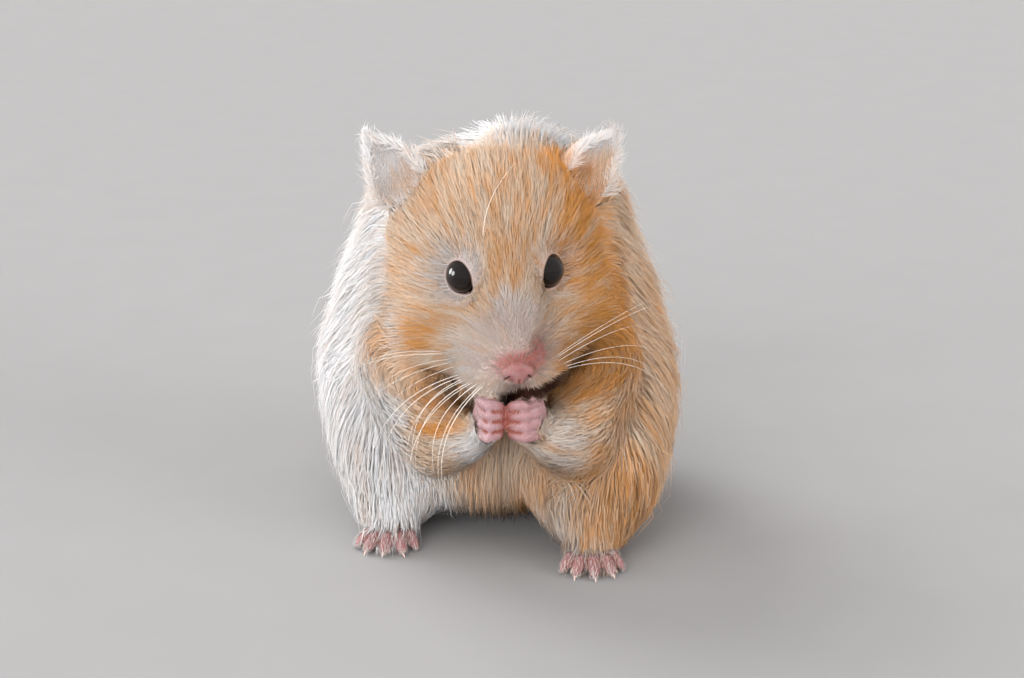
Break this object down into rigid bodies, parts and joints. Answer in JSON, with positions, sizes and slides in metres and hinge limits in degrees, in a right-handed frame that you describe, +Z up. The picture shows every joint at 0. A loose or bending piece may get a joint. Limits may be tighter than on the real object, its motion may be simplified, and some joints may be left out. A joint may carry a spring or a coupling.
{
  "type": "syrian hamster",
  "caption": "Still, life-size golden and white Syrian hamster sitting up on its hind feet, forepaws held together at its mouth.",
  "frame": {"origin": "on the floor, under the middle of the figure's bounding box", "axes": "+Z up; the hamster faces -Y; +X towards the hamster's own left side"},
  "size_m": [0.0738, 0.086, 0.0804],
  "materials": {
    "coat_gold": "long soft fur, golden apricot with cream and white patches",
    "coat_white": "long soft fur, cream white",
    "bare_skin": "matte pink skin, slightly moist on the nose",
    "eye": "wet gloss, near black"
  },
  "bodies": {
    "root": {"trunk": "coat_gold", "neck": "coat_white", "head": "coat_gold", "nose": "bare_skin", "eye_left": "eye", "eye_right": "eye", "ear_left": "bare_skin", "ear_right": "bare_skin", "foreleg_left": "coat_gold", "foreleg_right": "coat_gold", "forepaw_left": "bare_skin", "forepaw_right": "bare_skin", "hind_leg_left": "coat_gold", "hind_leg_right": "coat_gold", "hind_foot_left": "bare_skin", "hind_foot_right": "bare_skin", "tail": "bare_skin"}
  },
  "joints": []
}
